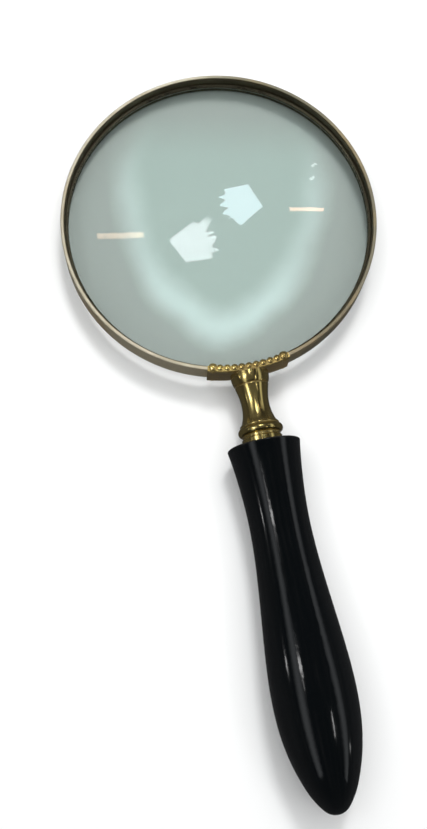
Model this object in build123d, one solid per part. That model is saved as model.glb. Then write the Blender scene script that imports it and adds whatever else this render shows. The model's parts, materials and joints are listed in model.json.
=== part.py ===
from build123d import *
from math import atan2, cos, degrees, hypot, radians, sin, sqrt
import os

# Hand magnifying glass: a biconvex lens in a flat brass band, a cast brass saddle and a turned
# brass baluster below it, and a turned black handle that unscrews from the baluster.
# Millimetres. The instrument is drawn with the lens centre at the origin, the lens axis along Z
# (front at +Z) and the handle along -Y. "Reach" is a distance from the lens axis along -Y.
# At the end it is laid down as it rests on a table, and each node is written to parts/NODE.step.

# Lens: a stock 100 mm reading lens of about 2.6 dioptres
LENS_RADIUS = 49.9
LENS_SURFACE_RADIUS = 400.0
LENS_EDGE = 1.6
LENS_BEVEL = 0.25
LENS_Z = -1.1

# Band round the lens, a flat brass strip with a groove for each retaining ring
BAND_OUTER = 51.4
BAND_WALL = 1.3
BAND_WIDTH = 9.0
BAND_EDGE_ROUND = 0.3
BAND_INNER = BAND_OUTER - BAND_WALL
BAND_HALF = BAND_WIDTH / 2

# Split spring-wire rings, one each side of the lens
WIRE_RADIUS = 0.7
GROOVE_DEPTH = 0.42
WIRE_CLEARANCE = 0.02
WIRE_CIRCLE = BAND_INNER + GROOVE_DEPTH - WIRE_RADIUS - WIRE_CLEARANCE
RING_GAP_DEGREES = 10.0

# Saddle: a channel over the band's lower edge, with beaded lips in front and behind
SADDLE_PLATE = 0.8
SADDLE_LENGTH = 27.0
SADDLE_EDGE_ROUND = 0.35
LIP_THICKNESS = 1.0
LIP_LET_IN = 0.3
LIP_INNER = 50.35
BEAD_RADIUS = 1.25
BEAD_REACH = 50.8
BEAD_COUNT = 9
BEAD_PITCH = 2.3
END_BEAD_RADIUS = 1.65
BEAD_SINK = 0.75
SADDLE_GAP = 0.02
SADDLE_INNER = BAND_OUTER + SADDLE_GAP
SADDLE_OUTER = SADDLE_INNER + SADDLE_PLATE
SADDLE_HALF_ANGLE = degrees(SADDLE_LENGTH / 2 / SADDLE_OUTER)

# Countersunk screw from inside the band, through the saddle, into the baluster
SCREW_RADIUS = 1.5
SCREW_HEAD_RADIUS = 2.8
SCREW_HEAD_LAND = 0.2
SCREW_HEAD_REACH = 50.35
SCREW_TIP_REACH = 59.5
SCREW_TIP_CHAMFER = 0.5
SCREW_SLOT = (0.8, 0.6)
SCREW_CLEARANCE = 0.04

# Baluster (ferrule): stations along the reach
FERRULE_TOP_RADIUS = 6.1
FERRULE_TOP_CROWN = 0.15
FERRULE_COLLAR_REACH = 55.9
FERRULE_COLLAR_RADIUS = 5.45
FERRULE_GROOVE_RADIUS = 5.1
FERRULE_GROOVE_WIDTH = 0.6
FERRULE_SHOULDER_RADIUS = 5.35
FERRULE_WAIST_REACH = 62.3
FERRULE_WAIST_RADIUS = 4.4
FERRULE_RIDGE_REACH = 69.2
FERRULE_RIDGE_RADIUS = 6.25
FERRULE_RIDGE_HALF = 0.45
FERRULE_RIDGE_FALL = 0.25
FERRULE_TOP_SLOPE = -0.28
FERRULE_END_SLOPE = 0.55
FERRULE_BEAD_REACH = 71.1
FERRULE_BEAD_RADIUS = 7.15
FERRULE_NECK_RADIUS = 6.0
FERRULE_NECK_REACH = 72.45
FERRULE_END_REACH = 73.2

# Threaded stud between baluster and handle (M6 x 1)
STUD_RADIUS = 2.97
STUD_PITCH = 1.0
STUD_THREAD_DEPTH = 0.45
STUD_FLANK = 0.45
STUD_CREST = 0.15
STUD_TOP_REACH = 65.2
STUD_ENGAGEMENT = 10.0
THREAD_BORE_RADIUS = 3.02
STUD_END_REACH = FERRULE_END_REACH + STUD_ENGAGEMENT

# Brass bush glued in the handle; its collar stands proud of the handle's flat top
SOCKET_COLLAR_RADIUS = 6.4
SOCKET_BODY_RADIUS = 5.0
SOCKET_SHOULDER_REACH = 77.0
SOCKET_END_REACH = 98.0
SOCKET_BORE_END_REACH = 94.0
SOCKET_TOP_CHAMFER = 0.35
SOCKET_END_CHAMFER = 0.6
SOCKET_KEY_GROOVE = 0.5
SOCKET_KEY_WIDTH = 1.0
SOCKET_KEY_REACHES = (82.0, 87.0, 92.0)
SOCKET_FIT = 0.05
SOCKET_GLUE_GAP = 0.3
DRILL_POINT = 2.7

# Handle: radius at each station below its flat top, then a ball-shaped nose
GRIP_TOP_REACH = 75.85
GRIP_LENGTH = 112.2
GRIP_EDGE_ROUND = 0.45
GRIP_TOP_TAPER = 0.2
GRIP_STATIONS = (
    (0.0, 11.65),
    (9.2, 10.35),
    (23.0, 9.42),
    (41.5, 10.13),
    (64.8, 12.3),
    (83.2, 12.7),
    (95.0, 10.9),
    (103.0, 8.27),
)
GRIP_NOSE_RADIUS = 5.1
GRIP_NOSE_START_DEGREES = 41.5
GRIP_TIP_REACH = GRIP_TOP_REACH + GRIP_LENGTH

CUT_MARGIN = 1.0
BLIND_DEPTH = 0.5
TINY = 0.01


def at_reach(shape):
    """Turn a shape drawn round +Z so that its axis runs along the reach, +Z becoming -Y."""
    return Rot(90, 0, 0) * shape


def turned(outline):
    """A solid of revolution about the handle's axis, from (radius, reach) points or edges."""
    return at_reach(revolve(make_face(Plane.XZ * (Curve() + outline)), Axis.Z))


def bore(radius, start, end):
    """Round hole along the handle's axis between two reaches."""
    return at_reach(Pos(0, 0, (start + end) / 2) * Cylinder(radius, end - start))


def sag(radius):
    """Height of the lens surface's dome above the circle of this radius."""
    return LENS_SURFACE_RADIUS - sqrt(LENS_SURFACE_RADIUS**2 - radius**2)


def wire_offset():
    """Distance of a retaining ring's centre from the lens's middle plane, touching the dome."""
    dome_centre = LENS_SURFACE_RADIUS - LENS_EDGE / 2 - sag(LENS_RADIUS)
    reach = LENS_SURFACE_RADIUS + WIRE_RADIUS + WIRE_CLEARANCE
    return sqrt(reach**2 - WIRE_CIRCLE**2) - dome_centre


def lens():
    """Biconvex glass with a cylindrical edge and a narrow bevel each side."""
    centre_height = LENS_EDGE / 2 + sag(LENS_RADIUS)
    offset = LENS_SURFACE_RADIUS - centre_height
    glass = Cylinder(LENS_RADIUS, 4 * centre_height)
    for side in (-1, 1):
        glass &= Pos(0, 0, side * offset) * Sphere(LENS_SURFACE_RADIUS)
    circles = glass.edges().filter_by(GeomType.CIRCLE)
    rims = circles.filter_by(lambda edge: edge.radius > LENS_RADIUS - TINY)
    return Pos(0, 0, LENS_Z) * chamfer(rims, LENS_BEVEL)


def sector(inner, outer, low, high, half_angle):
    """Part of a flat ring, centred on the -Y direction, between two radii and two heights."""
    section = Pos((inner + outer) / 2, (low + high) / 2) * Rectangle(outer - inner, high - low)
    block = revolve(Plane.XZ * section, Axis.Z, 2 * half_angle)
    return Rot(0, 0, -90 - half_angle) * block


def screw_hole():
    """Countersunk hole for the saddle screw, open towards the lens."""
    radius = SCREW_RADIUS + SCREW_CLEARANCE
    head = SCREW_HEAD_RADIUS + SCREW_CLEARANCE
    land = SCREW_HEAD_REACH + SCREW_HEAD_LAND
    throat = land + head - radius
    outline = Polyline(
        (0, BAND_INNER - CUT_MARGIN),
        (head, BAND_INNER - CUT_MARGIN),
        (head, land),
        (radius, throat),
        (radius, SADDLE_OUTER + CUT_MARGIN),
        (0, SADDLE_OUTER + CUT_MARGIN),
        close=True,
    )
    return turned(outline)


def rim_band():
    """Flat strip closed into a ring, grooved for the wire rings and notched for the saddle's lips."""
    centre = (BAND_INNER + BAND_OUTER) / 2
    section = Pos(centre, 0) * RectangleRounded(BAND_WALL, BAND_WIDTH, BAND_EDGE_ROUND)
    groove = Rectangle(2 * GROOVE_DEPTH, 2 * (WIRE_RADIUS + WIRE_CLEARANCE))
    for side in (-1, 1):
        section -= Pos(BAND_INNER, LENS_Z + side * wire_offset()) * groove
    band = revolve(Plane.XZ * section, Axis.Z)
    for side in (-1, 1):
        low, high = sorted((side * (BAND_HALF - LIP_LET_IN), side * (BAND_HALF + CUT_MARGIN)))
        band -= sector(BAND_INNER - CUT_MARGIN, BAND_OUTER + CUT_MARGIN, low, high, SADDLE_HALF_ANGLE)
    return band - screw_hole()


def retaining_ring(side):
    """Spring wire bent to a split ring, its gap at the saddle screw."""
    section = Plane.XZ * (Pos(WIRE_CIRCLE, 0) * Circle(WIRE_RADIUS))
    ring = revolve(section, Axis.Z, 360 - RING_GAP_DEGREES)
    start = -90 + RING_GAP_DEGREES / 2
    return Pos(0, 0, LENS_Z + side * wire_offset()) * Rot(0, 0, start) * ring


def bead_angles():
    """(angle from -Y, radius) of each bead on a lip, the larger ones at its two ends."""
    step = degrees(BEAD_PITCH / BEAD_REACH)
    row = [((i - (BEAD_COUNT - 1) / 2) * step, BEAD_RADIUS) for i in range(BEAD_COUNT)]
    end = SADDLE_HALF_ANGLE - degrees(END_BEAD_RADIUS / BEAD_REACH)
    return row + [(-end, END_BEAD_RADIUS), (end, END_BEAD_RADIUS)]


def outer_edges(block, radius):
    """Edges of a ring sector that lie on its outer radius."""
    return block.edges().filter_by(lambda edge: hypot((edge @ 0.5).X, (edge @ 0.5).Y) > radius - TINY)


def saddle():
    """Channel that grips the band from outside, its two lips let into the band's edges."""
    lip_low = BAND_HALF - LIP_LET_IN
    lip_high = lip_low + LIP_THICKNESS
    body = sector(SADDLE_INNER, SADDLE_OUTER, -lip_high, lip_high, SADDLE_HALF_ANGLE)
    body = fillet(outer_edges(body, SADDLE_OUTER), SADDLE_EDGE_ROUND)
    for side in (-1, 1):
        low, high = sorted((side * lip_low, side * lip_high))
        body += sector(LIP_INNER, SADDLE_INNER, low, high, SADDLE_HALF_ANGLE)
        for angle, radius in bead_angles():
            sink = BEAD_SINK * radius / BEAD_RADIUS
            bead = Pos(0, -BEAD_REACH, side * (lip_high - sink)) * Sphere(radius)
            bead -= Pos(0, -BEAD_REACH, 0) * Box(4 * radius, 4 * radius, 2 * lip_low)
            body += Rot(0, 0, angle) * bead
    return body - screw_hole()


def saddle_screw():
    """Countersunk slotted screw, its head just below the band's inner wall."""
    land = SCREW_HEAD_REACH + SCREW_HEAD_LAND
    outline = Polyline(
        (0, SCREW_HEAD_REACH),
        (SCREW_HEAD_RADIUS, SCREW_HEAD_REACH),
        (SCREW_HEAD_RADIUS, land),
        (SCREW_RADIUS, land + SCREW_HEAD_RADIUS - SCREW_RADIUS),
        (SCREW_RADIUS, SCREW_TIP_REACH - SCREW_TIP_CHAMFER),
        (SCREW_RADIUS - SCREW_TIP_CHAMFER, SCREW_TIP_REACH),
        (0, SCREW_TIP_REACH),
        close=True,
    )
    width, depth = SCREW_SLOT
    slot = Pos(0, -SCREW_HEAD_REACH, 0) * Box(4 * SCREW_HEAD_RADIUS, 2 * depth, width)
    return turned(outline) - slot


def ferrule():
    """Turned baluster: collar, waist, fine ridge and bead, its top cut to the saddle's curve."""
    blank_end = SADDLE_OUTER - CUT_MARGIN
    top = SADDLE_OUTER + CUT_MARGIN
    collar_start = (FERRULE_TOP_RADIUS, top)
    collar_middle = (FERRULE_TOP_RADIUS - FERRULE_TOP_CROWN, (top + FERRULE_COLLAR_REACH) / 2)
    collar_end = (FERRULE_COLLAR_RADIUS, FERRULE_COLLAR_REACH)
    shoulder = (FERRULE_SHOULDER_RADIUS, FERRULE_COLLAR_REACH + FERRULE_GROOVE_WIDTH)
    ridge_start = (FERRULE_RIDGE_RADIUS - FERRULE_RIDGE_HALF, FERRULE_RIDGE_REACH - FERRULE_RIDGE_HALF)
    ridge_end = (FERRULE_RIDGE_RADIUS - FERRULE_RIDGE_FALL, FERRULE_RIDGE_REACH + FERRULE_RIDGE_HALF)
    neck = (FERRULE_NECK_RADIUS, FERRULE_NECK_REACH)
    outline = [
        Polyline((0, blank_end), (FERRULE_TOP_RADIUS, blank_end), collar_start),
        ThreePointArc(collar_start, collar_middle, collar_end),
        Polyline(
            collar_end,
            (FERRULE_GROOVE_RADIUS, FERRULE_COLLAR_REACH + FERRULE_GROOVE_WIDTH / 4),
            (FERRULE_GROOVE_RADIUS, FERRULE_COLLAR_REACH + FERRULE_GROOVE_WIDTH * 3 / 4),
            shoulder,
        ),
        Spline(
            shoulder,
            (FERRULE_WAIST_RADIUS, FERRULE_WAIST_REACH),
            ridge_start,
            tangents=((FERRULE_TOP_SLOPE, 1), (FERRULE_END_SLOPE, 1)),
        ),
        ThreePointArc(ridge_start, (FERRULE_RIDGE_RADIUS, FERRULE_RIDGE_REACH), ridge_end),
        ThreePointArc(ridge_end, (FERRULE_BEAD_RADIUS, FERRULE_BEAD_REACH), neck),
        Polyline(neck, (FERRULE_NECK_RADIUS, FERRULE_END_REACH), (0, FERRULE_END_REACH), (0, blank_end)),
    ]
    body = turned(outline) - Cylinder(SADDLE_OUTER + SADDLE_GAP, 4 * FERRULE_TOP_RADIUS)
    body -= bore(SCREW_RADIUS + SADDLE_GAP, 0, SCREW_TIP_REACH + BLIND_DEPTH)
    return body - bore(THREAD_BORE_RADIUS, STUD_TOP_REACH - BLIND_DEPTH, FERRULE_END_REACH)


def handle_stud():
    """Threaded stud; each turn of the thread is drawn as a ring groove."""
    root = STUD_RADIUS - STUD_THREAD_DEPTH
    points = [(0, STUD_TOP_REACH), (root, STUD_TOP_REACH)]
    turns = int((STUD_END_REACH - STUD_TOP_REACH) / STUD_PITCH)
    for turn in range(turns):
        start = STUD_TOP_REACH + turn * STUD_PITCH
        points.append((STUD_RADIUS, start + STUD_FLANK * STUD_PITCH))
        points.append((STUD_RADIUS, start + (STUD_FLANK + STUD_CREST) * STUD_PITCH))
        points.append((root, start + STUD_PITCH))
    points.append((0, STUD_END_REACH))
    return turned(Polyline(*points, close=True))


def handle_socket():
    """Stepped brass bush with a blind threaded bore and ring grooves that key it in the glue."""
    collar = SOCKET_COLLAR_RADIUS
    body = SOCKET_BODY_RADIUS
    outline = Polyline(
        (0, FERRULE_END_REACH),
        (collar - SOCKET_TOP_CHAMFER, FERRULE_END_REACH),
        (collar, FERRULE_END_REACH + SOCKET_TOP_CHAMFER),
        (collar, SOCKET_SHOULDER_REACH),
        (body, SOCKET_SHOULDER_REACH),
        (body, SOCKET_END_REACH - SOCKET_END_CHAMFER),
        (body - SOCKET_END_CHAMFER, SOCKET_END_REACH),
        (0, SOCKET_END_REACH),
        close=True,
    )
    bush = turned(outline)
    ring = Cylinder(collar, SOCKET_KEY_WIDTH) - Cylinder(body - SOCKET_KEY_GROOVE, SOCKET_KEY_WIDTH)
    for reach in SOCKET_KEY_REACHES:
        bush -= at_reach(Pos(0, 0, reach) * ring)
    return bush - bore(THREAD_BORE_RADIUS, FERRULE_END_REACH, SOCKET_BORE_END_REACH)


def nose_point(angle):
    """A point on the handle's round nose, from 0 at its widest to 90 degrees at the tip."""
    centre = GRIP_TIP_REACH - GRIP_NOSE_RADIUS
    turn = radians(angle)
    return (GRIP_NOSE_RADIUS * cos(turn), centre + GRIP_NOSE_RADIUS * sin(turn))


def grip_curve():
    """The handle's outline from its top edge to its tip: one smooth curve and the arc of the nose."""
    start = nose_point(GRIP_NOSE_START_DEGREES)
    middle = nose_point((GRIP_NOSE_START_DEGREES + 90) / 2)
    nose_turn = radians(GRIP_NOSE_START_DEGREES)
    points = [(radius, GRIP_TOP_REACH + station) for station, radius in GRIP_STATIONS]
    side = Spline(*points, start, tangents=((-GRIP_TOP_TAPER, 1), (-sin(nose_turn), cos(nose_turn))))
    return [side, ThreePointArc(start, middle, (0, GRIP_TIP_REACH))]


def grip():
    """Turned black handle, flat at the top, bored for the bush."""
    top = (GRIP_STATIONS[0][1], GRIP_TOP_REACH)
    body = turned(grip_curve() + [Polyline((0, GRIP_TIP_REACH), (0, GRIP_TOP_REACH), top)])
    top_edge = body.edges().filter_by(GeomType.CIRCLE).sort_by(Axis.Y)[-1]
    body = fillet(top_edge, GRIP_EDGE_ROUND)
    wide = SOCKET_COLLAR_RADIUS + SOCKET_FIT
    narrow = SOCKET_BODY_RADIUS + SOCKET_FIT
    step = SOCKET_SHOULDER_REACH + SOCKET_FIT
    bottom = SOCKET_END_REACH + SOCKET_GLUE_GAP
    hole = Polyline(
        (0, GRIP_TOP_REACH - CUT_MARGIN),
        (wide, GRIP_TOP_REACH - CUT_MARGIN),
        (wide, step),
        (narrow, step),
        (narrow, bottom),
        (0, bottom + DRILL_POINT),
        close=True,
    )
    return body - turned(hole)


def rest_tilt():
    """Angle between the lens axis and the vertical when the glass lies on its back.

    It then touches the table at the band's far back edge and at the handle's flared top edge.
    """
    touch_radius = GRIP_STATIONS[0][1] - GRIP_TOP_TAPER * GRIP_EDGE_ROUND
    drop = touch_radius - BAND_HALF
    return degrees(atan2(drop, BAND_OUTER + GRIP_TOP_REACH + GRIP_EDGE_ROUND))


REST_TILT = rest_tilt()

NODES = {
    "lens": lens(),
    "rim_band": rim_band(),
    "front_retaining_ring": retaining_ring(1),
    "rear_retaining_ring": retaining_ring(-1),
    "saddle": saddle(),
    "saddle_screw": saddle_screw(),
    "ferrule": ferrule(),
    "handle_stud": handle_stud(),
    "handle_socket": handle_socket(),
    "grip": grip(),
}


def rest_location():
    """Where the instrument's own frame lies when it rests with its box centred over the origin."""
    turn = Rot(-REST_TILT, 0, 0)
    far = (turn * NODES["rim_band"]).bounding_box()
    near = (turn * NODES["grip"]).bounding_box()
    return Pos(0, -(far.max.Y + near.min.Y) / 2, -far.min.Z) * turn


REST = rest_location()

os.makedirs("parts", exist_ok=True)
for name, shape in NODES.items():
    export_step(REST * shape, f"parts/{name}.step")
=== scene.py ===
import json
from math import pi, radians

import bpy
from mathutils import Matrix, Vector


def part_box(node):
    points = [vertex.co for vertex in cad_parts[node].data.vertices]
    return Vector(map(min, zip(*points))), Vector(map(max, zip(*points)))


# Looks, light and camera for the magnifying glass. Blender's own lengths are in metres, in the
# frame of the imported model. Places on the glass are given in the instrument's own frame, in
# millimetres: origin at the middle of the band, +Z along the lens axis to the front, -Y down the
# handle, +X to the right. Directions are given in that frame too.

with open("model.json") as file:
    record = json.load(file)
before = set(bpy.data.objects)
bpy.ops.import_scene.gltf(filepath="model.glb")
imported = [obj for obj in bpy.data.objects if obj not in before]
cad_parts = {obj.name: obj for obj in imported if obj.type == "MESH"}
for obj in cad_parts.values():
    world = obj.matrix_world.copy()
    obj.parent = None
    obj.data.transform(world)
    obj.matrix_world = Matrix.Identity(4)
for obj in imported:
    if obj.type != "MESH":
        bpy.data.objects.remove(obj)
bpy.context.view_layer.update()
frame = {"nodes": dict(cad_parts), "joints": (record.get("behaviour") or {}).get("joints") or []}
MM = 0.001


def joint(name):
    """One joint's entry in the frame."""
    return next(j for j in frame["joints"] if j["name"] == name)


def instrument_frame():
    """Matrix from the instrument's own frame, in metres, to the row frame."""
    low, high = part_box("rim_band")
    up_handle = -Vector(joint("handle_turn")["axis"]).normalized()
    right = Vector((1, 0, 0))
    front = right.cross(up_handle)
    turn = Matrix((right, up_handle, front)).transposed()
    return Matrix.Translation((low + high) / 2) @ turn.to_4x4()


INSTRUMENT = instrument_frame()


def place(x, y, z):
    """A point in the instrument's frame, in millimetres, as a point in the row frame."""
    return INSTRUMENT @ Vector((x * MM, y * MM, z * MM))


def aim(x, y, z):
    """A direction in the instrument's frame as one in the row frame."""
    return (INSTRUMENT.to_3x3() @ Vector((x, y, z))).normalized()


def reach_of(node):
    """How far down the handle a node starts, in millimetres."""
    back = INSTRUMENT.inverted()
    return min(-(back @ v.co).y for v in frame["nodes"][node].data.vertices) / MM


def half_height(node):
    """Half of a node's size along the lens axis, in millimetres."""
    back = INSTRUMENT.inverted()
    return max(abs((back @ v.co).z) for v in frame["nodes"][node].data.vertices) / MM


LENS_RADIUS = (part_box("lens")[1].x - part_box("lens")[0].x) / 2 / MM
BAND_RADIUS = (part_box("rim_band")[1].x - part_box("rim_band")[0].x) / 2 / MM
BAND_HALF_WIDTH = half_height("rim_band")
GRIP_TOP = reach_of("grip")


# ---------------------------------------------------------------- camera

CAMERA_PLACE = (-41.7, -151.4, 366.8)
CAMERA_TARGET = (-13.6, -63.15, -0.3)
CAMERA_ROLL = radians(10.96)
SENSOR = 36.0
FOCAL_LENGTH = 52.111


def make_camera():
    """Looks down on the glass from the handle's side, the handle leaning to the right."""
    data = bpy.data.cameras.new("camera")
    data.sensor_width = SENSOR
    data.lens = FOCAL_LENGTH
    data.clip_start = 0.01
    camera = bpy.data.objects.new("camera", data)
    bpy.context.scene.collection.objects.link(camera)
    back = (place(*CAMERA_PLACE) - place(*CAMERA_TARGET)).normalized()
    lens_up = aim(0, 1, 0)
    right = lens_up.cross(back).normalized()
    up = back.cross(right)
    turn = Matrix((right, up, back)).transposed()
    turn = turn @ Matrix.Rotation(-CAMERA_ROLL, 3, "Z")
    camera.matrix_world = Matrix.Translation(place(*CAMERA_PLACE)) @ turn.to_4x4()
    bpy.context.scene.camera = camera


# ---------------------------------------------------------------- shader helpers


class Shader:
    """A material's node tree, with short calls for the nodes that these materials use."""

    def __init__(self, name):
        self.material = bpy.data.materials.new(name)
        self.material.use_nodes = True
        self.tree = self.material.node_tree
        self.surface = self.tree.nodes["Principled BSDF"]

    def add(self, kind, **settings):
        node = self.tree.nodes.new(kind)
        for key, value in settings.items():
            setattr(node, key, value)
        return node

    def put(self, socket, value):
        """Links an output, or sets a plain value."""
        if isinstance(value, bpy.types.NodeSocket):
            self.tree.links.new(value, socket)
        elif isinstance(value, tuple) and len(value) == 3 and socket.type == "RGBA":
            socket.default_value = (*value, 1.0)
        else:
            socket.default_value = value

    def set(self, **values):
        """Sets or links the surface's own sockets; underscores stand for spaces."""
        for key, value in values.items():
            self.put(self.surface.inputs[key.replace("_", " ")], value)

    def math(self, operation, a, b=0.0, c=0.0):
        node = self.add("ShaderNodeMath", operation=operation)
        for socket, value in zip(node.inputs, (a, b, c)):
            self.put(socket, value)
        return node.outputs[0]

    def band(self, value, low, high):
        """0 below low, 1 above high, smooth between; falls instead if low is above high."""
        node = self.add("ShaderNodeMapRange", interpolation_type="SMOOTHSTEP")
        down = low > high
        self.put(node.inputs["Value"], value)
        node.inputs["From Min"].default_value = min(low, high)
        node.inputs["From Max"].default_value = max(low, high)
        node.inputs["To Min"].default_value = 1.0 if down else 0.0
        node.inputs["To Max"].default_value = 0.0 if down else 1.0
        return node.outputs[0]

    def span(self, value, low, high):
        """A value between 0 and 1 spread to between low and high."""
        return self.math("MULTIPLY_ADD", value, high - low, low)

    def mix(self, factor, a, b, blend="MIX"):
        node = self.add("ShaderNodeMix", data_type="RGBA", blend_type=blend)
        self.put(node.inputs[0], factor)
        self.put(node.inputs[6], a)
        self.put(node.inputs[7], b)
        return node.outputs[2]

    def own_place(self):
        """Coordinates in the instrument's own frame, in millimetres."""
        source = self.add("ShaderNodeTexCoord").outputs["Object"]
        move = self.add("ShaderNodeMapping", vector_type="TEXTURE")
        move.inputs["Location"].default_value = INSTRUMENT.translation
        move.inputs["Rotation"].default_value = INSTRUMENT.to_euler()
        move.inputs["Scale"].default_value = (MM, MM, MM)
        self.tree.links.new(source, move.inputs["Vector"])
        return move.outputs[0]

    def split(self, vector):
        node = self.add("ShaderNodeSeparateXYZ")
        self.tree.links.new(vector, node.inputs[0])
        return node.outputs[0], node.outputs[1], node.outputs[2]

    def join(self, x, y, z):
        node = self.add("ShaderNodeCombineXYZ")
        for socket, value in zip(node.inputs, (x, y, z)):
            self.put(socket, value)
        return node.outputs[0]

    def noise(self, vector, scale, detail=4.0, roughness=0.55, seed=0.0):
        node = self.add("ShaderNodeTexNoise", noise_dimensions="4D")
        self.tree.links.new(vector, node.inputs["Vector"])
        node.inputs["Scale"].default_value = scale
        node.inputs["Detail"].default_value = detail
        node.inputs["Roughness"].default_value = roughness
        node.inputs["W"].default_value = seed
        return node.outputs["Fac"]

    def crevice(self, distance_mm):
        """1 in open places, falling towards 0 in grooves and corners."""
        node = self.add("ShaderNodeAmbientOcclusion", samples=8)
        node.inputs["Distance"].default_value = distance_mm * MM
        return node.outputs["AO"]

    def overlay(self, mask, colour):
        """Lays a colour over the surface's own where the mask is 1."""
        base = self.surface.inputs["Base Color"]
        self.put(base, self.mix(mask, base.links[0].from_socket, colour))

    def bump(self, height, depth_mm, strength=1.0):
        node = self.add("ShaderNodeBump")
        node.inputs["Distance"].default_value = depth_mm * MM
        node.inputs["Strength"].default_value = strength
        self.tree.links.new(height, node.inputs["Height"])
        self.tree.links.new(node.outputs[0], self.surface.inputs["Normal"])


def paint(node, material):
    """Gives a CAD node this material all over."""
    mesh = frame["nodes"][node].data
    mesh.materials.clear()
    mesh.materials.append(material)


# ---------------------------------------------------------------- materials


def length(shader, a, b):
    """Length of the vector with these two components."""
    squares = [shader.math("POWER", part, 2.0) for part in (a, b)]
    return shader.math("SQRT", shader.math("ADD", *squares))


def radial_place(shader):
    """(x, y, z, distance from the lens axis, angle round it) in the instrument's frame."""
    x, y, z = shader.split(shader.own_place())
    return x, y, z, length(shader, x, y), shader.math("ARCTAN2", y, x)


def axial_place(shader):
    """(reach down the handle, distance from the handle's axis, angle round it)."""
    x, y, z = shader.split(shader.own_place())
    return shader.math("MULTIPLY", y, -1.0), length(shader, x, z), shader.math("ARCTAN2", z, x)


def lathe_marks(shader, along, across, angle, fineness, seed):
    """Fine lines that run round an axis: noise drawn out along the angle."""
    stretched = shader.join(
        shader.math("MULTIPLY", along, fineness),
        shader.math("MULTIPLY", across, fineness),
        shader.math("MULTIPLY", angle, 0.8),
    )
    return shader.noise(stretched, 1.0, detail=3.0, seed=seed)


FILM_CREVICE_MM = 0.8
MARK_RELIEF_MM = 0.015


def brass(name, clean, aged, marks, patina, age, seed, gloss=0.2, dull=0.45, bare=1.0, coated=0.6):
    """Aged brass: clean metal under a patchy brown film that is thickest in crevices.

    marks(shader) gives fine tool marks, patina(shader) more film where it is above 0 and less
    below, and age is how much film there is all over. bare and coated are how metallic the
    surface looks without the film and under it.
    """
    shader = Shader(name)
    here = shader.own_place()
    patches = shader.noise(here, 0.22, detail=6.0, roughness=0.6, seed=seed)
    spots = shader.noise(here, 1.6, detail=5.0, roughness=0.7, seed=seed + 7)
    closed = shader.math("SUBTRACT", 1.0, shader.crevice(FILM_CREVICE_MM))
    film = shader.math("MULTIPLY_ADD", patches, 0.7, shader.math("MULTIPLY", spots, 0.45))
    film = shader.math("MULTIPLY_ADD", closed, 1.1, film)
    film = shader.math("ADD", film, patina(shader))
    film = shader.band(shader.math("ADD", film, age - 0.5), 0.35, 0.95)
    lines = marks(shader)
    tone = shader.mix(film, clean, aged)
    rubbed = shader.math("MULTIPLY", shader.band(lines, 0.45, 0.75), 0.3)
    shader.set(
        Base_Color=shader.mix(rubbed, tone, clean),
        Metallic=shader.span(film, bare, coated),
        Roughness=shader.math(
            "MULTIPLY_ADD", shader.band(lines, 0.3, 0.8), 0.06, shader.span(film, gloss, dull)
        ),
    )
    height = shader.math("MULTIPLY_ADD", lines, 0.7, shader.math("MULTIPLY", spots, 0.3))
    shader.bump(height, MARK_RELIEF_MM, 0.4)
    return shader


def round_lens_marks(seed):
    """Tool marks that run round the lens axis."""

    def marks(shader):
        x, y, z, distance, angle = radial_place(shader)
        return lathe_marks(shader, z, distance, angle, 3.0, seed)

    return marks


def round_handle_marks(seed):
    """Tool marks that run round the handle's axis."""

    def marks(shader):
        reach, distance, angle = axial_place(shader)
        return lathe_marks(shader, reach, distance, angle, 5.0, seed)

    return marks


def cast_marks(seed):
    """The fine grain of a sand casting, the same in every direction."""

    def marks(shader):
        return shader.noise(shader.own_place(), 2.8, detail=6.0, roughness=0.65, seed=seed)

    return marks


def even(shader):
    """No more film in one place than in another."""
    return 0.0


# Pale band edges: partly rubbed wear, partly a painted highlight.
BAND_EDGE_WEAR_AND_HIGHLIGHT = (1.0, 0.92, 0.72)
BAND_GOLDEN = (0.55, 0.40, 0.20)
# Painted shade: the band's right side browned, and its inner wall darkened almost to black.
BAND_PAINTED_SHADE_RIGHT = (0.11, 0.10, 0.062)
BAND_INSIDE_PAINTED_SHADE = (0.056, 0.045, 0.016)


def band_inside(shader):
    """1 on the band's inner wall, where shade is painted on."""
    x, y, z, distance, angle = radial_place(shader)
    return shader.band(distance, BAND_RADIUS - 0.9, BAND_RADIUS - 1.2)


def band_edge_wear_and_highlight(shader):
    """1 along the band's outer corners and edge faces, patchily, and less on its right side: rubbed wear,
    and a painted highlight that is strongest on the left where the light falls.
    """
    x, y, z, distance, angle = radial_place(shader)
    edge = shader.band(shader.math("ABSOLUTE", z), BAND_HALF_WIDTH - 0.5, BAND_HALF_WIDTH - 0.15)
    outside = shader.band(distance, BAND_RADIUS - 1.1, BAND_RADIUS - 0.7)
    wear = shader.band(shader.noise(shader.own_place(), 0.12, seed=5.0), 0.35, 0.6)
    left = shader.band(x, 22.0, -6.0)
    patchy = shader.math("MULTIPLY", shader.span(wear, 0.45, 1.0), shader.span(left, 0.12, 1.0))
    return shader.math("MULTIPLY", shader.math("MULTIPLY", edge, patchy), outside)


def dull_wall(shader):
    """Film left on the saddle's outer wall, away from its polished lips and beads."""
    x, y, z, distance, angle = radial_place(shader)
    wall = shader.band(shader.math("ABSOLUTE", z), BAND_HALF_WIDTH + 0.35, BAND_HALF_WIDTH - 0.15)
    return shader.math("MULTIPLY", wall, 0.8)


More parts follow.
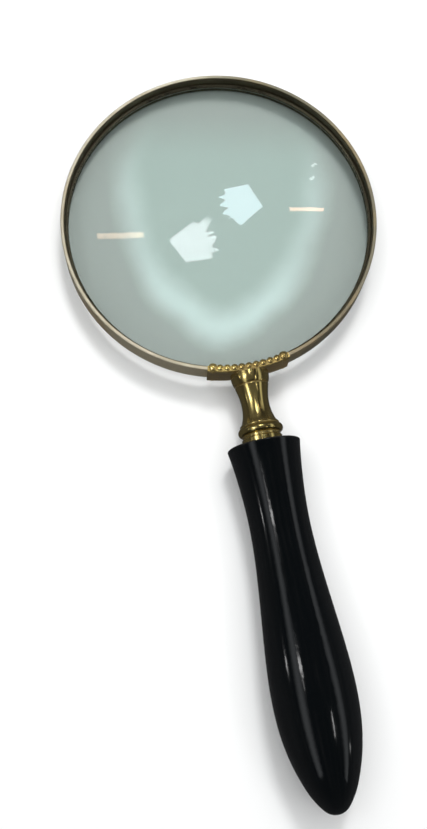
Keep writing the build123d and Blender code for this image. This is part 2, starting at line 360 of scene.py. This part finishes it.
def band_brass():
    """The band: olive-brown outside, with painted shade on its right, pale edges that are partly rubbed
    wear and partly a painted highlight, and painted shade making its inner wall almost black.
    """
    shader = brass(
        "band_brass", (0.70, 0.62, 0.43), (0.54, 0.475, 0.33), round_lens_marks(3), even,
        age=0.5, seed=11.0, gloss=0.3, dull=0.48, bare=0.7, coated=0.5,
    )
    x, y, z, distance, angle = radial_place(shader)
    # Painted shade: the band browner towards its right side, away from the light.
    painted_shade_right = shader.band(x, -8.0, 22.0)
    golden = shader.band(shader.noise(shader.own_place(), 0.06, seed=13.0), 0.48, 0.66)
    # Painted shade on the right side and on the inner wall, a painted highlight on the edges, and random
    # golden patches.
    overlays = (
        (painted_shade_right, 0.75, BAND_PAINTED_SHADE_RIGHT),
        (golden, 0.6, BAND_GOLDEN),
        (band_edge_wear_and_highlight(shader), 0.85, BAND_EDGE_WEAR_AND_HIGHLIGHT),
        (band_inside(shader), 0.92, BAND_INSIDE_PAINTED_SHADE),
    )
    for mask, share, colour in overlays:
        shader.overlay(shader.math("MULTIPLY", mask, share), colour)
    return shader.material


def wire_brass():
    """The wire rings: painted dark brown as shade, like the shaded inner wall of the band that they lie
    against.
    """
    shader = brass(
        "spring_wire", (0.24, 0.22, 0.15), (0.075, 0.065, 0.04), round_lens_marks(9), even,
        age=0.5, seed=21.0,
    )
    return shader.material


SADDLE_PAINTED_SHADE_RIGHT = (0.40, 0.28, 0.11)


def saddle_brass():
    """Cast and polished: gold on the lips and beads, brown on the wall, and painted shade browning it
    towards the right.
    """
    shader = brass(
        "cast_brass", (0.95, 0.72, 0.26), (0.25, 0.19, 0.095), cast_marks(4), dull_wall,
        age=0.10, seed=31.0, gloss=0.18, dull=0.42, bare=0.9, coated=0.55,
    )
    x, y, z, distance, angle = radial_place(shader)
    # Painted shade: the saddle browner towards its right, away from the light that brightens its left
    # end.
    painted_shade_right = shader.band(x, -7.0, -3.0)
    shader.overlay(shader.math("MULTIPLY", painted_shade_right, 0.6), SADDLE_PAINTED_SHADE_RIGHT)
    return shader.material


def turned_brass():
    """Lathe turned: the fine rings draw each highlight out along the handle."""
    shader = brass(
        "turned_brass", (0.68, 0.53, 0.20), (0.22, 0.165, 0.065), round_handle_marks(6), even,
        age=0.28, seed=41.0, gloss=0.18, dull=0.32, coated=0.6,
    )
    shader.set(Anisotropic=0.6, Anisotropic_Rotation=0.25)
    rings = shader.add("ShaderNodeTangent", direction_type="RADIAL", axis="Y")
    shader.put(shader.surface.inputs["Tangent"], rings.outputs[0])
    return shader.material


def screw_brass():
    """The hidden screw, cleaner than the parts that are handled."""
    shader = brass(
        "screw_brass", (0.7, 0.55, 0.28), (0.2, 0.15, 0.07), round_handle_marks(8), even,
        age=0.45, seed=51.0,
    )
    return shader.material


STEEL_BRIGHT = (0.56, 0.55, 0.53)
STEEL_OILY = (0.17, 0.155, 0.135)
STEEL_STAINED = (0.30, 0.25, 0.19)
THREAD_CREST_RADIUS = 2.9
THREAD_ROOT_RADIUS = 2.55


def stud_steel():
    """Rolled steel thread under a little oil, darker at the thread's root."""
    shader = Shader("steel")
    here = shader.own_place()
    reach, distance, angle = axial_place(shader)
    root = shader.band(distance, THREAD_CREST_RADIUS, THREAD_ROOT_RADIUS)
    stain = shader.noise(here, 0.9, detail=6.0, seed=61.0)
    tone = shader.mix(shader.math("MULTIPLY", root, 0.7), STEEL_BRIGHT, STEEL_OILY)
    tone = shader.mix(shader.band(stain, 0.5, 0.72), tone, STEEL_STAINED)
    shader.set(
        Base_Color=tone,
        Metallic=1.0,
        Roughness=shader.span(stain, 0.2, 0.45),
    )
    shader.bump(shader.noise(here, 6.0, seed=62.0), 0.01, 0.4)
    return shader.material


LIGHT_PATCH_TIP = (-8.6, -34.0)
LIGHT_PATCH_TURN = radians(11.0)
LIGHT_PATCH_HALF_WIDTH = 31.0
LIGHT_PATCH_MIDDLE = (3.0, 50.0)
LIGHT_PATCH_SIDES = 0.5


def light_patch(shader):
    """(rim, inside) of the light that the lens gathers behind it: a soft shield, its tip brightest."""
    x, y, z = shader.split(shader.own_place())
    turned = shader.add("ShaderNodeVectorRotate", rotation_type="Z_AXIS")
    turned.inputs["Center"].default_value = (*LIGHT_PATCH_TIP, 0.0)
    turned.inputs["Angle"].default_value = LIGHT_PATCH_TURN
    shader.put(turned.inputs["Vector"], shader.join(x, y, 0.0))
    across, along, flat = shader.split(turned.outputs[0])
    across = shader.math("SUBTRACT", across, LIGHT_PATCH_TIP[0] + LIGHT_PATCH_MIDDLE[0])
    along = shader.math("SUBTRACT", along, LIGHT_PATCH_TIP[1] + LIGHT_PATCH_MIDDLE[1])
    across = shader.math("DIVIDE", shader.math("ABSOLUTE", across), LIGHT_PATCH_HALF_WIDTH)
    below = shader.math("DIVIDE", along, LIGHT_PATCH_MIDDLE[1])
    shape = shader.math("ADD", shader.math("POWER", across, 1.6), shader.math("POWER", below, 2.0))
    unevenness = shader.noise(shader.own_place(), 0.05, seed=77.0)
    shape = shader.math("ADD", shape, shader.span(unevenness, -0.2, 0.2))
    rim = shader.math("MULTIPLY", shader.band(shape, 0.62, 1.0), shader.band(shape, 1.45, 1.0))
    fade = shader.band(along, 22.0, -8.0)
    towards_tip = shader.band(along, -20.0, -46.0)
    strength = shader.math("MULTIPLY", fade, shader.span(towards_tip, LIGHT_PATCH_SIDES, 1.0))
    inside = shader.math("MULTIPLY", shader.band(shape, 1.2, 0.8), shader.band(along, 28.0, 6.0))
    return shader.math("MULTIPLY", rim, strength), inside


GLASS_TINT = (0.51, 0.57, 0.54)
# Painted light: the pale shield that the lens focuses on the floor, laid into the glass's colour,
# brighter along its rim.
GLASS_PAINTED_LIGHT_INSIDE = (0.555, 0.67, 0.63)
GLASS_PAINTED_CAUSTIC_RIM = (0.80, 0.95, 0.92)
GLASS_GROUND_EDGE = (0.30, 0.33, 0.31)
GLASS_IOR = 1.52


def lens_glass():
    """Grey-green glass, polished on its domes, ground and frosted on its edge, with the light that it
    focuses on the floor painted into its colour as a pale shield.
    """
    shader = Shader("lens_glass")
    here = shader.own_place()
    x, y, z, distance, angle = radial_place(shader)
    ground = shader.band(distance, LENS_RADIUS - 0.42, LENS_RADIUS - 0.2)
    smear = shader.noise(here, 0.05, detail=5.0, roughness=0.6, seed=71.0)
    smudge = shader.math("MULTIPLY", shader.band(smear, 0.55, 0.8), 0.02)
    dust = shader.band(shader.noise(here, 1.3, detail=3.0, seed=72.0), 0.73, 0.78)
    haze = shader.math("MULTIPLY_ADD", dust, 0.05, smudge)
    rim, inside = light_patch(shader)
    # Painted light in the glass's colour: the lens's focused light behind it, a pale shield.
    tint_and_painted_light = shader.mix(inside, GLASS_TINT, GLASS_PAINTED_LIGHT_INSIDE)
    tint_and_painted_light = shader.mix(rim, tint_and_painted_light, GLASS_PAINTED_CAUSTIC_RIM)
    shader.set(
        Base_Color=shader.mix(ground, tint_and_painted_light, GLASS_GROUND_EDGE),
        Transmission_Weight=1.0,
        IOR=GLASS_IOR,
        Roughness=shader.math("MULTIPLY_ADD", ground, 0.5, haze),
    )
    shader.bump(shader.math("MULTIPLY", shader.noise(here, 5.0, seed=73.0), ground), 0.02, 0.5)
    return shader.material


def lengthwise(shader, reach, angle, fineness, stretch):
    """Coordinates for streaks that run down the handle."""
    return shader.join(
        shader.math("MULTIPLY", shader.math("COSINE", angle), fineness),
        shader.math("MULTIPLY", reach, stretch),
        shader.math("MULTIPLY", shader.math("SINE", angle), fineness),
    )


LACQUER_BLACK = (0.0018, 0.0026, 0.0032)
LACQUER_GRAIN = (0.0050, 0.0056, 0.0060)
LACQUER_WORN_EDGE = (0.04, 0.037, 0.033)
LACQUER_IOR = 1.5
LACQUER_RELIEF_MM = 0.02


def black_lacquer():
    """Ebonised wood under black lacquer: faint lengthwise grain, hairline scratches, soft dents."""
    shader = Shader("black_handle")
    reach, distance, angle = axial_place(shader)
    here = shader.own_place()
    grain = shader.noise(
        lengthwise(shader, reach, angle, 9.0, 0.035), 1.0, detail=7.0, roughness=0.7, seed=81.0
    )
    smear = shader.noise(here, 0.09, detail=4.0, seed=82.0)
    scratch = shader.noise(
        lengthwise(shader, reach, shader.math("ADD", angle, 0.4), 60.0, 0.25), 1.0, detail=2.0, seed=83.0
    )
    scratches = shader.band(scratch, 0.71, 0.76)
    edge = shader.band(reach, GRIP_TOP + 0.7, GRIP_TOP + 0.1)
    tone = shader.mix(shader.band(grain, 0.45, 0.75), LACQUER_BLACK, LACQUER_GRAIN)
    shader.set(
        Base_Color=shader.mix(shader.math("MULTIPLY", edge, 0.5), tone, LACQUER_WORN_EDGE),
        Roughness=shader.math(
            "MULTIPLY_ADD", scratches, 0.12, shader.span(shader.band(smear, 0.4, 0.7), 0.09, 0.14)
        ),
        IOR=LACQUER_IOR,
    )
    lumps = shader.noise(here, 0.07, detail=0.0, seed=84.0)
    shader.bump(shader.math("MULTIPLY_ADD", scratches, -0.01, lumps), LACQUER_RELIEF_MM, 0.6)
    return shader.material


def paint_all():
    """Paints every node. The lens casts no shadow, so that the floor behind it is lit."""
    metal = turned_brass()
    wire = wire_brass()
    paint("lens", lens_glass())
    paint("rim_band", band_brass())
    paint("front_retaining_ring", wire)
    paint("rear_retaining_ring", wire)
    paint("saddle", saddle_brass())
    paint("saddle_screw", screw_brass())
    paint("ferrule", metal)
    paint("handle_socket", metal)
    paint("handle_stud", stud_steel())
    paint("grip", black_lacquer())
    frame["nodes"]["lens"].visible_shadow = False


# ---------------------------------------------------------------- floor, light and surroundings


def stage_mesh(name, corners, material):
    """A flat face of the set, not part of the object."""
    mesh = bpy.data.meshes.new(name)
    mesh.from_pydata(corners, [], [tuple(range(len(corners)))])
    mesh.materials.append(material)
    piece = bpy.data.objects.new(name, mesh)
    bpy.context.scene.collection.objects.link(piece)
    return piece


def rectangle(half_width, half_length):
    """The four corners of a rectangle round (0, 0)."""
    return (
        (-half_width, -half_length),
        (half_width, -half_length),
        (half_width, half_length),
        (-half_width, half_length),
    )


FLOOR_COLOUR = (0.86, 0.87, 0.87)
FLOOR_HALF = 4.0


def make_floor():
    """Plain pale floor, left out of the metal's reflections so that these stay dark."""
    shader = Shader("floor")
    shader.set(Base_Color=FLOOR_COLOUR, Roughness=0.9, Specular_IOR_Level=0.0)
    corners = [(x, y, 0) for x, y in rectangle(FLOOR_HALF, FLOOR_HALF)]
    floor = stage_mesh("floor", corners, shader.material)
    floor.visible_glossy = False


def facing(direction):
    """Turn for a panel in this direction from the glass: across, along the handle, and away."""
    back = aim(*direction)
    across = aim(0, 1, 0).cross(back).normalized()
    return Matrix((across, back.cross(across), back)).transposed()


def area_light(name, direction, size, radiance, target=(0, 0, 0), distance=1.3, offset=(0, 0),
               spin=0.0, colour=(1, 1, 1), glossy=True, through_glass=False):
    """A rectangular softbox that faces the target, shifted and turned in its own plane.

    glossy and through_glass say whether front surfaces and the lens's back surface mirror it.
    """
    data = bpy.data.lights.new(name, "AREA")
    data.shape = "RECTANGLE"
    data.size, data.size_y = size
    data.color = colour
    data.energy = radiance * pi * size[0] * size[1]
    light = bpy.data.objects.new(name, data)
    bpy.context.scene.collection.objects.link(light)
    turn = facing(direction)
    middle = place(*target) + turn @ Vector((*offset, distance))
    light.matrix_world = Matrix.Translation(middle) @ turn.to_4x4() @ Matrix.Rotation(spin, 4, "Z")
    light.visible_camera = False
    light.visible_glossy = glossy
    light.visible_transmission = through_glass
    return light


def show_mirrored(piece, front, back):
    """A glowing piece seen only in reflections: in front surfaces, in the lens's back surface."""
    piece.visible_camera = False
    piece.visible_diffuse = False
    piece.visible_shadow = False
    piece.visible_glossy = front
    piece.visible_transmission = back


# The window and the tube are each mirrored twice, by the lens's front and by its back. Each has
# one glow for either image, because the glass tints and dims the image from its back.
WINDOW_DIRECTION = (0.163, 0.412, 0.8965)
WINDOW_DISTANCE = 1.4
WINDOW_GLOWS = (
    # name, colour, radiance, mirrored by the lens's back
    ("window_front", (0.73, 0.90, 1.0), 10.0, False),
    ("window_back", (1.0, 0.86, 0.96), 17.0, True),
)
WINDOW_OUTLINE = (
    (-0.040, 0.068),
    (0.048, 0.070),
    (0.080, -0.025),
    (-0.012, -0.082),
    (-0.064, -0.046),
    (-0.040, -0.034),
    (-0.068, -0.016),
    (-0.042, -0.004),
    (-0.070, 0.012),
    (-0.044, 0.026),
    (-0.066, 0.042),
    (-0.038, 0.048),
)

TUBE_OFFSET = (0.235, -0.058)
TUBE_COLOUR = (1.0, 0.58, 0.38)
TUBE_GLOWS = (
    # name, size, radiance, distance, spin in degrees, mirrored by the lens's back
    ("tube_front", (0.126, 0.014), 14.0, 1.40, -7.5, False),
    ("tube_back", (0.165, 0.022), 15.0, 1.37, -2.0, True),
)

GLINT_OFFSETS = ((0.298, 0.112), (0.280, 0.060))
GLINT_SIZE = (0.022, 0.010)
GLINT_RADIANCE = 6.0
GLINT_SPIN = 0.5  # radians


def make_window(name, colour, radiance, through_glass):
    """A pale window, ragged along one side, seen mirrored in the lens's front or its back."""
    glow = Shader(name)
    glow.set(Base_Color=(0, 0, 0), Emission_Color=colour, Emission_Strength=radiance)
    turn = facing(WINDOW_DIRECTION)
    corners = [place(0, 0, 0) + turn @ Vector((x, y, WINDOW_DISTANCE)) for x, y in WINDOW_OUTLINE]
    window = stage_mesh(name, corners, glow.material)
    show_mirrored(window, front=not through_glass, back=through_glass)


HANDLE_MIDDLE = (0, -130, 0)

HANDLE_LAMPS = (
    # name, direction, size, radiance
    ("left_lamp_high", (-0.46, 0.13, 0.875), (0.18, 0.08), 9.0),
    ("left_lamp_haze", (-0.47, 0.05, 0.88), (0.05, 0.08), 3.5),
    ("left_lamp_low", (-0.91, 0.13, 0.40), (0.07, 0.06), 10.0),
    ("right_lamp_high", (0.48, -0.27, 0.83), (0.035, 0.26), 14.0),
    ("right_lamp_low", (0.9, -0.4, 0.19), (0.04, 0.08), 8.0),
)

HANDLE_PANELS = (
    # name, direction, size, radiance at the middle
    ("left_panel", (-0.66, -0.1, 0.75), (0.66, 1.9), 0.85),
    ("right_panel", (0.86, -0.1, 0.5), (0.50, 1.9), 0.80),
)
HANDLE_PANEL_COLOUR = (0.93, 0.97, 1.0)
HANDLE_PANEL_DISTANCE = 1.3

FERRULE_MIDDLE = (0, -66, 0)
NEAR_LAMP_DISTANCE = 0.16
TURNED_PARTS = ("ferrule", "handle_socket")

NEAR_LAMPS = (
    # name, direction, size, radiance, the parts that mirror it
    ("ferrule_lamp_left", (-0.60, 0.02, 0.80), (0.016, 0.05), 9.0, TURNED_PARTS),
    ("ferrule_lamp_above", (-0.03, 0.45, 0.89), (0.016, 0.05), 9.0, TURNED_PARTS),
    ("ferrule_lamp_right", (0.62, 0.35, 0.70), (0.012, 0.04), 0.9, TURNED_PARTS),
    ("ferrule_panel", (-0.35, 0.25, 0.90), (0.30, 0.30), 0.09, TURNED_PARTS),
    ("saddle_lamp_left", (-0.58, 0.0, 0.81), (0.035, 0.04), 10.0, ("saddle",)),
    ("saddle_lamp_right", (0.3, 0.35, 0.88), (0.03, 0.04), 1.6, ("saddle",)),
    ("saddle_panel", (-0.35, 0.25, 0.90), (0.30, 0.30), 0.28, ("saddle",)),
)


def make_panel(name, direction, size, radiance):
    """A long panel whose glow fades out towards its long sides, mirrored by the handle."""
    glow = Shader(name)
    across = glow.split(glow.add("ShaderNodeTexCoord").outputs["Generated"])[0]
    fade = glow.math("SINE", glow.math("MULTIPLY", across, pi))
    glow.set(
        Base_Color=(0, 0, 0),
        Emission_Color=HANDLE_PANEL_COLOUR,
        Emission_Strength=glow.math("MULTIPLY", glow.math("POWER", fade, 3.0), radiance),
    )
    turn = facing(direction)
    outline = rectangle(size[0] / 2, size[1] / 2)
    middle = place(*HANDLE_MIDDLE)
    corners = [middle + turn @ Vector((x, y, HANDLE_PANEL_DISTANCE)) for x, y in outline]
    panel = stage_mesh(name, corners, glow.material)
    show_mirrored(panel, front=True, back=False)


def light_only(lamp, parts):
    """Keeps a small near lamp out of everything but these parts."""
    lit = bpy.data.collections.new(lamp.name + "_lit")
    for part in parts:
        lit.objects.link(frame["nodes"][part])
    lamp.light_linking.receiver_collection = lit


FLOOR_LIGHTS = (
    # name, direction, size, radiance
    ("key", WINDOW_DIRECTION, (0.28, 0.28), 40.0),
    ("sky", (0.0, 0.1, 1.0), (2.2, 2.2), 2.32),
)
FLOOR_LIGHT_DISTANCE = 1.6


def make_lights():
    """Key and sky for the floor; window, tube, panels and lamps for what the parts mirror."""
    for name, direction, size, radiance in FLOOR_LIGHTS:
        area_light(name, direction, size, radiance, distance=FLOOR_LIGHT_DISTANCE, glossy=False)
    for name, direction, size, radiance in HANDLE_LAMPS:
        area_light(name, direction, size, radiance, target=HANDLE_MIDDLE)
    for name, direction, size, radiance in HANDLE_PANELS:
        make_panel(name, direction, size, radiance)
    for name, direction, size, radiance, parts in NEAR_LAMPS:
        lamp = area_light(
            name, direction, size, radiance, target=FERRULE_MIDDLE, distance=NEAR_LAMP_DISTANCE
        )
        lamp.visible_diffuse = False
        light_only(lamp, parts)
    for name, colour, radiance, through_glass in WINDOW_GLOWS:
        make_window(name, colour, radiance, through_glass)
    for name, size, radiance, distance, spin, through_glass in TUBE_GLOWS:
        area_light(
            name, WINDOW_DIRECTION, size, radiance, distance=distance, offset=TUBE_OFFSET,
            spin=radians(spin), colour=TUBE_COLOUR, glossy=not through_glass, through_glass=through_glass,
        )
    for offset in GLINT_OFFSETS:
        area_light(
            "glint", WINDOW_DIRECTION, GLINT_SIZE, GLINT_RADIANCE, distance=WINDOW_DISTANCE,
            offset=offset, spin=GLINT_SPIN,
        )


ROOM_GREYS = (
    # height, from 0 straight down to 1 straight up, and grey
    (0.0, 0.06),
    (0.42, 0.08),
    (0.55, 0.06),
    (0.75, 0.03),
    (1.0, 0.02),
)
ROOM_BLUENESS = 1.03
ROOM_IN_LENS = (0.42, 0.47, 0.46, 1.0)


def make_world():
    """A dim room, lighter for rays that come out of the lens."""
    world = bpy.data.worlds.new("world")
    bpy.context.scene.world = world
    world.use_nodes = True
    tree = world.node_tree
    background = tree.nodes["Background"]
    direction = tree.nodes.new("ShaderNodeTexCoord")
    split = tree.nodes.new("ShaderNodeSeparateXYZ")
    height = tree.nodes.new("ShaderNodeMapRange")
    ramp = tree.nodes.new("ShaderNodeValToRGB")
    height.inputs["From Min"].default_value = -1.0
    tree.links.new(direction.outputs["Generated"], split.inputs[0])
    tree.links.new(split.outputs["Z"], height.inputs["Value"])
    tree.links.new(height.outputs[0], ramp.inputs[0])
    through_lens = tree.nodes.new("ShaderNodeLightPath").outputs["Is Transmission Ray"]
    mix = tree.nodes.new("ShaderNodeMix")
    mix.data_type = "RGBA"
    tree.links.new(through_lens, mix.inputs[0])
    tree.links.new(ramp.outputs[0], mix.inputs[6])
    mix.inputs[7].default_value = ROOM_IN_LENS
    tree.links.new(mix.outputs[2], background.inputs["Color"])
    elements = ramp.color_ramp.elements
    while len(elements) < len(ROOM_GREYS):
        elements.new(0.5)
    for element, (position, grey) in zip(elements, ROOM_GREYS):
        element.position = position
        element.color = (grey, grey, grey * ROOM_BLUENESS, 1.0)


def make_view():
    """Shows colours as they are, with no film look."""
    settings = bpy.context.scene.view_settings
    settings.view_transform = "Standard"
    settings.look = "None"


make_camera()
paint_all()
make_floor()
make_lights()
make_world()
make_view()
